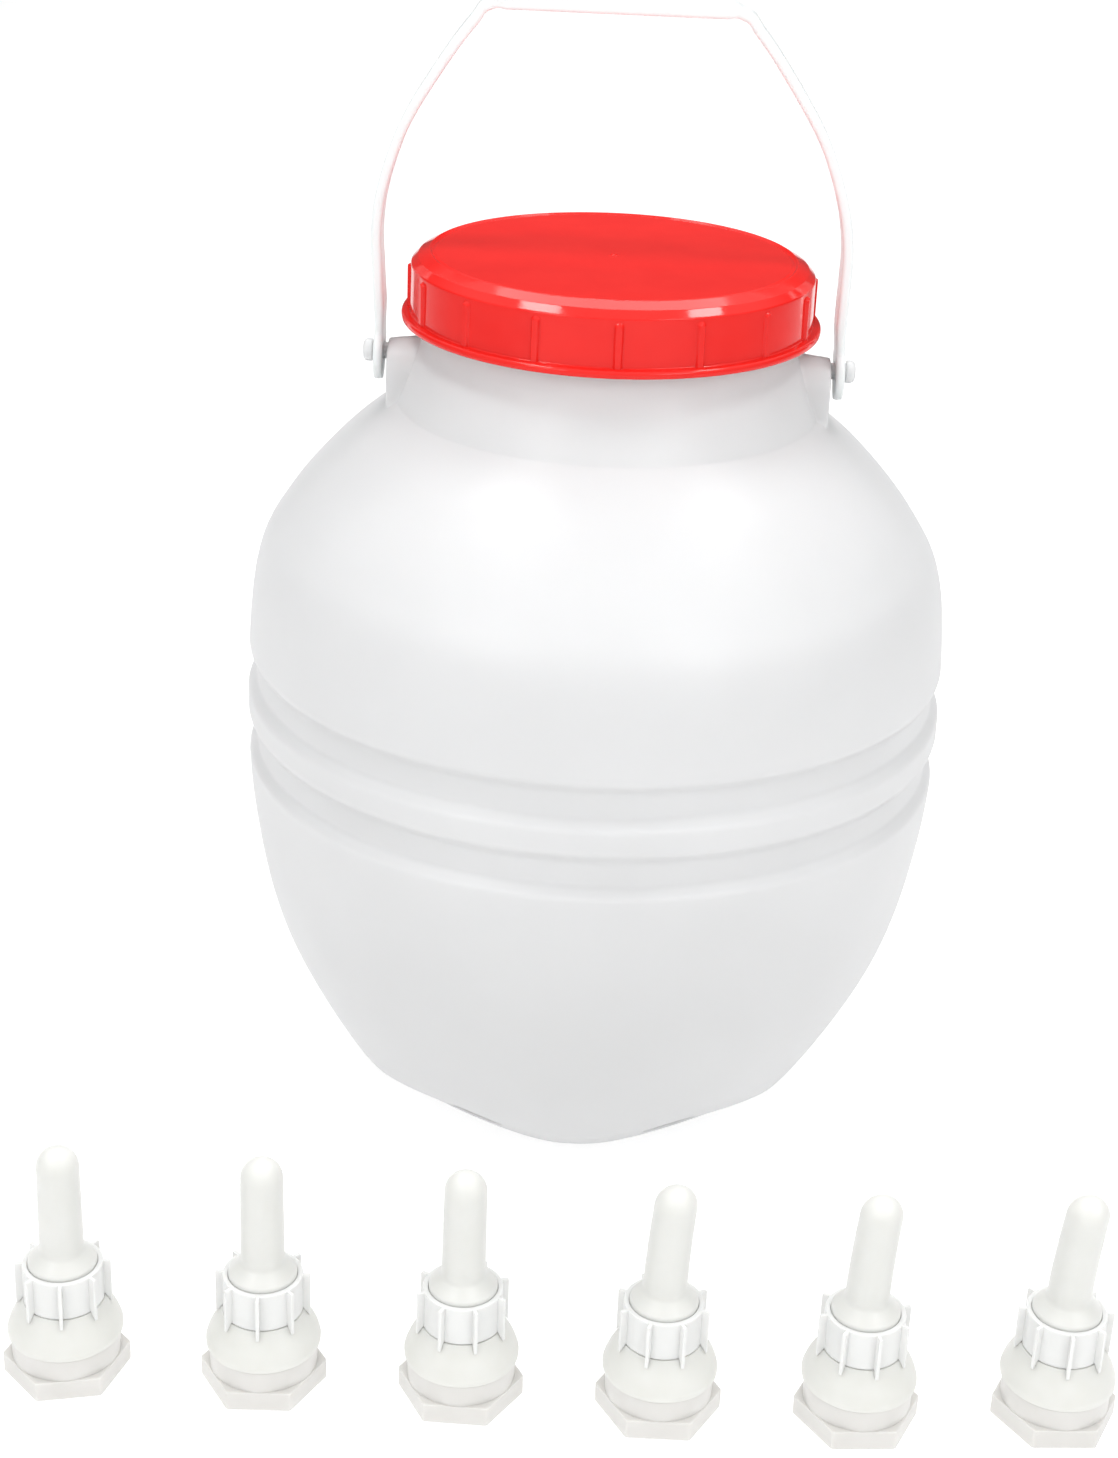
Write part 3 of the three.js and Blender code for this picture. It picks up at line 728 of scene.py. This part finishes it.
def make_lid(materials):
    angles = lid_angles()
    section = rounded([(30, LID_ROOF, 0), *lid_outline()], steps=7)
    rings = [[(0, 0, LID_ROOF)]]
    dense = []
    for here, following in zip(section, section[1:]):
        dense.append(here)
        upright = here[0] > LID_OUTER_RADIUS - 0.5 and following[0] > LID_OUTER_RADIUS - 0.5
        gap = following[1] - here[1]
        if upright and gap > 0.6:
            pieces = math.ceil(gap / 0.35)
            for step in range(1, pieces):
                share = step / pieces
                dense.append((here[0] + (following[0] - here[0]) * share, here[1] + gap * share))
    dense.append(section[-1])
    for radius, height in dense:
        outer_wall = radius > LID_OUTER_RADIUS - 0.2 and LID_RIB_FOOT - 1 < height < LID_RIB_TOP + 1
        if outer_wall:
            rings.append(ring(lambda angle: max(radius, LID_OUTER_RADIUS + rib_rise(angle, height)), height, angles))
        else:
            rings.append(ring(radius, height, angles))
    for radius in (20, 6, 2.2):
        rings.append(ring(radius, LID_DISC, angles))
    gate = rounded([(2, LID_DISC, 0), (LID_GATE_RADIUS, LID_DISC, 0.2),
                    (LID_GATE_RADIUS - 0.2, LID_DISC + LID_GATE_RISE, 0.2), (0.2, LID_DISC + LID_GATE_RISE, 0)], steps=3)
    for radius, height in gate[1:]:
        rings.append(ring(radius, height, angles))
    rings.append([(0, 0, LID_DISC + LID_GATE_RISE)])
    material = materials["red_lid_plastic"]
    add_piece("screw_lid_shell", skin(rings), material, "lid", ["screw_lid"])
    bead = thread_bead(LID_INNER_RADIUS, NECK_THREAD_START - LID_THREAD_DROP)
    add_piece("lid_thread", bead, material, "lid")


def make_seal(materials):
    foot = NECK_TOP + SEAL_GAP
    top = LID_ROOF - SEAL_GAP
    corners = [
        (0, foot, 0), (20, foot, 0), (SEAL_RADIUS - 3, foot, 0), (SEAL_RADIUS, foot, 0.35),
        (SEAL_RADIUS, top, 0.35), (SEAL_RADIUS - 3, top, 0), (20, top, 0), (0, top, 0),
    ]
    disc = lathe(rounded(corners, steps=4), 160)
    add_piece("foam_seal", disc, materials["white_foam"], "seal", ["lid_seal"])


# ---------------------------------------------------------------- carrying bail

def rounded_section(breadth, thickness, edge, corner_steps=4):
    """A rounded rectangle as (along Y, across the strap) points, the same count at any size."""
    edge = min(edge, breadth / 2 - 0.01, thickness / 2 - 0.01)
    points = []
    for turn, (y, t) in enumerate(((1, 1), (-1, 1), (-1, -1), (1, -1))):
        centre = (y * (breadth / 2 - edge), t * (thickness / 2 - edge))
        for step in range(corner_steps + 1):
            angle = math.pi / 2 * (turn + step / corner_steps)
            points.append((centre[0] + edge * math.cos(angle), centre[1] + edge * math.sin(angle)))
    return points


def bail_centreline():
    half = []
    for across, height in BAIL_STATIONS:
        lean = max(BAIL_LEAN * (height - STUD_HEIGHT) / (GRIP_TOP - STUD_HEIGHT), 0)
        half.append((across, height, lean))
    right = [(across - lean, height) for across, height, lean in half]
    left = [(-across - lean, height) for across, height, lean in half]
    line = spline([*right, *reversed(left)], 520)
    return line


def bail_size(point):
    """(breadth, thickness) of the strap at a point of its centreline: eyelet, strap or grip."""
    x, height = point
    along_eyelet = height - STUD_HEIGHT
    round_end = 2 * math.sqrt(max(EYELET_RADIUS ** 2 - along_eyelet ** 2, 0)) if height < 280 else 0
    strap = BAIL_BREADTH if along_eyelet > 0 else 0
    breadth = blend_high(strap, round_end, 1.5) if along_eyelet > 0 else round_end
    thickness = EYELET_THICKNESS + (BAIL_THICKNESS - EYELET_THICKNESS) * smooth_step(272, 280, height)
    into_grip = 1 - smooth_step(GRIP_HALF_LENGTH - 2, GRIP_HALF_LENGTH + 2.5, abs(x + BAIL_LEAN))
    if height > 340:
        breadth += (GRIP_BREADTH - BAIL_BREADTH) * into_grip
        thickness += (GRIP_TOP - GRIP_FOOT - BAIL_THICKNESS) * into_grip
    return breadth, thickness


def make_bail(materials):
    line = bail_centreline()
    foot = STUD_HEIGHT - EYELET_RADIUS
    ends = [(line[0][0], foot + 0.02 + rise) for rise in (0, 0.1, 0.3, 0.6, 1.0)]
    far = [(line[-1][0], height) for _, height in ends]
    line = [*ends, *line, *reversed(far)]
    grip_middle = (GRIP_TOP + GRIP_FOOT) / 2
    rings = []
    for index, (x, height) in enumerate(line):
        before = Vector(line[max(index - 1, 0)])
        after = Vector(line[min(index + 1, len(line) - 1)])
        along = (after - before).normalized()
        across = Vector((along.y, -along.x))
        breadth, thickness = bail_size((x, height))
        into_grip = 1 - smooth_step(GRIP_HALF_LENGTH - 2, GRIP_HALF_LENGTH + 3, abs(x + BAIL_LEAN))
        if height > 340:
            height += (grip_middle - height) * into_grip
        points = []
        for y, t in rounded_section(breadth, thickness, BAIL_EDGE_ROUND):
            points.append((x + across.x * t, y, height + across.y * t))
        rings.append(points)
    caps = [[(line[0][0], 0, line[0][1] - 0.01)], [(line[-1][0], 0, line[-1][1] - 0.01)]]
    strap = skin([caps[0], *rings, caps[1]])
    bore = lathe([(0, -100), (EYELET_HOLE_RADIUS, -100), (EYELET_HOLE_RADIUS, 100), (0, 100)], 48)
    moved(bore, Matrix.Translation((0, 0, STUD_HEIGHT * MM)) @ Matrix.Rotation(math.pi / 2, 4, "Y"))
    strap = cut(strap, [bore])
    add_piece("carrying_bail", strap, materials["white_bail_plastic"], "handle", ["carry_handle"])


# ---------------------------------------------------------------- teat units

def hexagon_radius(angle, corner_radius, corner_round):
    """Distance to the edge of a hexagon with rounded corners, one of them on the X axis."""
    sector = TURN / 6
    offset = abs((angle + sector / 2) % sector - sector / 2)
    apothem = corner_radius * math.cos(sector / 2)
    centre = (apothem - corner_round) / math.cos(sector / 2)
    corner_end = math.atan2(corner_round * math.sin(sector / 2), centre + corner_round * math.cos(sector / 2))
    if offset < corner_end:
        return centre * math.cos(offset) + math.sqrt(corner_round ** 2 - (centre * math.sin(offset)) ** 2)
    return apothem / math.cos(sector / 2 - offset)


def hexagon_angles():
    """Angles about Z, closer together at the hexagon's corners."""
    sector = TURN / 6
    near = [math.radians(degrees) for degrees in (0.6, 1.2, 1.8, 2.6, 4)]
    plain = [near[-1] + (sector - 2 * near[-1]) * step / 8 for step in range(1, 8)]
    local = [0, *near, *plain, *(sector - offset for offset in reversed(near))]
    return [index * sector + offset for index in range(6) for offset in local]


def make_bushing(name, x, y, turn, materials, body, stands_for):
    angles = hexagon_angles()
    edge = HEX_EDGE_ROUND
    rings = []
    for share in range(5):
        angle = math.pi / 2 * share / 4
        inset = edge * (1 - math.sin(angle))
        height = edge * (1 - math.cos(angle))
        size = HEX_CORNER_RADIUS - inset / math.cos(TURN / 12)
        rings.append(ring(lambda at: hexagon_radius(at, size, HEX_CORNER_ROUND), height, angles))
    for share in range(5):
        angle = math.pi / 2 * share / 4
        inset = edge * (1 - math.cos(angle))
        height = HEX_THICKNESS - edge * (1 - math.sin(angle))
        size = HEX_CORNER_RADIUS - inset / math.cos(TURN / 12)
        rings.append(ring(lambda at: hexagon_radius(at, size, HEX_CORNER_ROUND), height, angles))
    post = [
        (SEAT_RADIUS, HEX_THICKNESS, 0), (SEAT_RADIUS, SEAT_TOP, 0.4),
        (CORE_RADIUS, SEAT_TOP, 0.3), (CORE_RADIUS, CORE_TOP, 0.6), (MILK_BORE_RADIUS, CORE_TOP, 0.5),
        (MILK_BORE_RADIUS, 0, 0.6), (MILK_BORE_RADIUS + 3, 0, 0),
    ]
    for radius, height in rounded(post, steps=4):
        rings.append(ring(radius, height, angles))
    bm = placed(skin(rings, closed=True), x, y, turn)
    add_piece(name, bm, materials["cream_bushing_plastic"], body, stands_for)


def make_washer(name, x, y, materials, body, stands_for):
    dome = [(radius, height, 0) for radius, height in spline(WASHER_DOME, WASHER_DOME_STEPS)]
    widest = WASHER_DOME[0][0]
    corners = [
        (WASHER_HOLE_RADIUS, WASHER_FOOT, 0.4), (widest, WASHER_FOOT, 0.8), *dome[:-1],
        (WASHER_DOME[-1][0], WASHER_TOP, 0.15), (WASHER_HOLE_RADIUS, WASHER_TOP, 0.4),
    ]
    bm = placed(lathe(rounded(corners, closed=True, steps=9), UNIT_SEGMENTS, closed=True), x, y)
    add_piece(name, bm, materials["cream_washer_rubber"], body, stands_for)


def nut_angles():
    sector = TURN / NUT_FINS
    near = [math.radians(degrees) for degrees in (0.9, 1.6, 2.0, 2.4, 2.8, 3.4, 5)]
    plain = [near[-1] + (sector - 2 * near[-1]) * step / 7 for step in range(1, 7)]
    local = [0, *near, *plain, *(sector - offset for offset in reversed(near))]
    return [index * sector + offset for index in range(NUT_FINS) for offset in local]


def nut_side(angle):
    """The nut's outline with its thin upright fins."""
    sector = TURN / NUT_FINS
    offset = (angle + sector / 2) % sector - sector / 2
    fin = min(NUT_FIN_RADIUS, NUT_FIN_HALF_THICKNESS / max(abs(math.sin(offset)), 1e-6))
    return max(NUT_RADIUS, blend_low(fin, NUT_FIN_RADIUS, 0.3))


def fin_foot_ring(angles, share):
    """A ring round the nut at its fins' slanted feet, this share of the way out along each fin."""
    points = []
    for angle in angles:
        radius = NUT_RADIUS + (nut_side(angle) - NUT_RADIUS) * share
        height = NUT_FIN_FOOT + (NUT_FIN_RADIUS - radius) * NUT_FIN_FOOT_SLOPE
        if share == 1:
            height += NUT_FIN_FOOT_ROUND
        points.append((radius * math.cos(angle), radius * math.sin(angle), height))
    return points


def make_nut(name, x, y, turn, materials, body, stands_for):
    angles = nut_angles()
    inner_height = NUT_FOOT + 1
    skirt = rounded([(NUT_HOLE_RADIUS, inner_height, 0), (NUT_HOLE_RADIUS, NUT_FOOT, 0.3),
                     (NUT_RADIUS, NUT_FOOT, 0.3), (NUT_RADIUS, NUT_FOOT + 0.5, 0)], steps=4)
    rings = [ring(radius, height, angles) for radius, height in skirt[1:]]
    rings += [fin_foot_ring(angles, 0.85), fin_foot_ring(angles, 1)]
    for height, inset in ((NUT_TOP - 0.4, 0), (NUT_TOP - 0.1, 0.12), (NUT_TOP, 0.4)):
        rings.append(ring(lambda at: max(nut_side(at) - inset, NUT_RADIUS - inset * 0.8), height, angles))
    dish = rounded([
        (NUT_RADIUS, NUT_TOP, 0), (NUT_HOLE_RADIUS, NUT_TOP, 0.2), (NUT_HOLE_RADIUS, NUT_WEB_TOP, 0.2),
        (NUT_WEB_HOLE_RADIUS, NUT_WEB_TOP, 0.3), (NUT_WEB_HOLE_RADIUS, NUT_WEB_FOOT, 0.2),
        (NUT_HOLE_RADIUS, NUT_WEB_FOOT, 0.3), (NUT_HOLE_RADIUS, inner_height, 0),
    ], steps=4)
    rings += [ring(radius, height, angles) for radius, height in dish[1:]]
    bm = placed(skin(rings, closed=True), x, y, turn)
    add_piece(name, bm, materials["clear_nut_plastic"], body, stands_for)


def make_teat(name, x, y, lean, materials, body, stands_for):
    corners = [
        (0, TEAT_BORE_TOP, 0), (TEAT_BORE_RADIUS, TEAT_BORE_TOP, 3.2), (TEAT_BORE_RADIUS, TEAT_FLANGE_FOOT, 0.4),
        (TEAT_FLANGE_RADIUS, TEAT_FLANGE_FOOT, 0.5), (TEAT_FLANGE_RADIUS, TEAT_FLANGE_TOP, 0.5),
        (TEAT_ROOT_RADIUS, TEAT_FLANGE_TOP, 0.3), (TEAT_ROOT_RADIUS, TEAT_BELL_FOOT, 0.3),
        (TEAT_BELL_RADIUS, TEAT_BELL_FOOT, 0.6), (TEAT_BELL_RADIUS, TEAT_BELL_SHOULDER, 1.6),
        (TEAT_ROOT_RADIUS, TEAT_LEAN_START, 3.0),
        (TEAT_ROOT_RADIUS + (TEAT_TIP_RADIUS - TEAT_ROOT_RADIUS) * 0.6, (TEAT_LEAN_START + TEAT_TIP) / 2, 0),
        (TEAT_TIP_RADIUS, TEAT_TIP - TEAT_TIP_RADIUS, 0),
    ]
    profile = rounded(corners, steps=5)
    for step in range(1, 13):
        angle = math.pi / 2 * step / 12
        radius = TEAT_TIP_RADIUS * math.cos(angle) if step < 12 else 0
        profile.append((radius, TEAT_TIP - TEAT_TIP_RADIUS * (1 - math.sin(angle))))
    dense = []
    for (r0, z0), (r1, z1) in zip(profile, profile[1:]):
        pieces = max(1, math.ceil(abs(z1 - z0) / 2.5))
        for step in range(pieces):
            share = step / pieces
            dense.append((r0 + (r1 - r0) * share, z0 + (z1 - z0) * share))
    dense.append(profile[-1])
    bm = lathe(dense, UNIT_SEGMENTS)
    for vert in bm.verts:
        rise = max(vert.co.z / MM - TEAT_LEAN_START, 0) / (TEAT_TIP - TEAT_LEAN_START)
        vert.co.x += lean * rise ** 1.5 * MM
    placed(bm, x, y)
    add_piece(name, bm, materials["milky_teat_silicone"], body, stands_for)


def make_unit(number, materials):
    low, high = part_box(f"sealing_washer_{number}")
    middle = (low + high) / 2 / MM
    turn = UNIT_HEX_TURNS[number - 1]
    unit = f"unit_{number}"
    make_bushing(f"bushing_{number}", middle.x, middle.y, turn, materials, unit, [f"hex_bushing_{number}"])
    make_washer(f"washer_{number}", middle.x, middle.y, materials, unit, [f"sealing_washer_{number}"])
    nut_turn = UNIT_NUT_TURNS[number - 1]
    make_nut(f"finned_nut_{number}", middle.x, middle.y, nut_turn, materials, f"nut_{number}", [f"clamp_nut_{number}"])
    lean = UNIT_TIP_LEANS[number - 1]
    make_teat(f"soft_teat_{number}", middle.x, middle.y, lean, materials, f"teat_{number}", [f"teat_{number}"])


# ---------------------------------------------------------------- stage

def make_floor():
    nodes = Nodes("pale_floor")
    nodes.shader.inputs["Base Color"].default_value = (0.55, 0.55, 0.55, 1)
    nodes.shader.inputs["Roughness"].default_value = 0.9
    nodes.shader.inputs["Specular IOR Level"].default_value = 0.1
    nodes.shader.inputs["Emission Color"].default_value = (1, 1, 1, 1)
    across = nodes.node("ShaderNodeSeparateXYZ")
    nodes.link(nodes.place, across.inputs["Vector"])
    distance = nodes.node("ShaderNodeMath", operation="ABSOLUTE")
    nodes.link(across.outputs["X"], distance.inputs[0])
    fading = nodes.node("ShaderNodeMapRange", interpolation_type="SMOOTHSTEP")
    for name, value in zip(("From Min", "From Max", "To Min", "To Max"), (*FLOOR_FADE, *FLOOR_GLOW)):
        fading.inputs[name].default_value = value
    nodes.link(distance.outputs["Value"], fading.inputs["Value"])
    nodes.link(fading.outputs["Result"], nodes.shader.inputs["Emission Strength"])
    half = 6.0
    bm = bmesh.new()
    corners = [bm.verts.new((x * half, y * half, -0.0002)) for x, y in ((-1, -1), (1, -1), (1, 1), (-1, 1))]
    bm.faces.new(corners)
    mesh = bpy.data.meshes.new("floor")
    bm.to_mesh(mesh)
    bm.free()
    mesh.materials.append(nodes.material)
    floor = bpy.data.objects.new("floor", mesh)
    bpy.context.scene.collection.objects.link(floor)


def add_softbox(name, place, target, width, height, watts):
    light = bpy.data.lights.new(name, "AREA")
    light.shape = "RECTANGLE"
    light.size = width
    light.size_y = height
    light.energy = watts
    holder = bpy.data.objects.new(name, light)
    holder.location = place
    holder.rotation_euler = (Vector(target) - Vector(place)).to_track_quat("-Z", "Y").to_euler()
    bpy.context.scene.collection.objects.link(holder)


def sky():
    """A studio that is bright overhead and at the viewer's side, and dim low down behind the object."""
    world = bpy.data.worlds.new("studio")
    world.use_nodes = True
    tree = world.node_tree
    place = tree.nodes.new("ShaderNodeTexCoord")
    parts = tree.nodes.new("ShaderNodeSeparateXYZ")
    tree.links.new(place.outputs["Generated"], parts.inputs["Vector"])

    def ramp(source, limits, low, high):
        made = tree.nodes.new("ShaderNodeMapRange")
        made.interpolation_type = "SMOOTHSTEP"
        for name, value in zip(("From Min", "From Max", "To Min", "To Max"), (*limits, low, high)):
            made.inputs[name].default_value = value
        tree.links.new(source, made.inputs["Value"])
        return made

    low_down = ramp(parts.outputs["Y"], SKY_DEPTHS, SKY_FRONT, SKY_BEHIND)
    whole = ramp(parts.outputs["Z"], SKY_RISE, 0, SKY_HIGH)
    tree.links.new(low_down.outputs["Result"], whole.inputs["To Min"])
    tree.links.new(whole.outputs["Result"], tree.nodes["Background"].inputs["Strength"])
    tree.nodes["Background"].inputs["Color"].default_value = (1, 1, 1, 1)
    bpy.context.scene.world = world


def light_studio():
    sky()
    for name, place, target, width, height, watts in SOFTBOXES:
        add_softbox(name, place, target, width, height, watts)


def make_camera():
    """The camera where the viewer stands, from its yaw, downward pitch and roll."""
    yaw, pitch, roll = CAMERA_YAW, CAMERA_PITCH, CAMERA_ROLL
    forward = Vector((math.sin(yaw) * math.cos(pitch), math.cos(yaw) * math.cos(pitch), -math.sin(pitch)))
    level = Vector((math.cos(yaw), -math.sin(yaw), 0))
    upright = level.cross(forward)
    right = math.cos(roll) * level + math.sin(roll) * upright
    up = -math.sin(roll) * level + math.cos(roll) * upright
    camera = bpy.data.cameras.new("viewer")
    camera.sensor_width = SENSOR_LONG_SIDE_MM
    camera.lens = FOCAL_LENGTH_PX * SENSOR_LONG_SIDE_MM / IMAGE_HEIGHT_PX
    camera.clip_start = 0.05
    camera.clip_end = 30
    holder = bpy.data.objects.new("viewer", camera)
    axes = Matrix((right, up, -forward)).transposed().to_4x4()
    holder.matrix_world = Matrix.Translation(CAMERA_PLACE) @ axes
    bpy.context.scene.collection.objects.link(holder)
    bpy.context.scene.camera = holder


def main():
    make_camera()
    materials = make_materials()
    make_barrel(materials)
    make_lid(materials)
    make_seal(materials)
    make_bail(materials)
    for number in range(1, TEAT_COUNT + 1):
        make_unit(number, materials)
    make_floor()
    light_studio()
    bpy.context.scene.view_settings.view_transform = "Standard"


main()
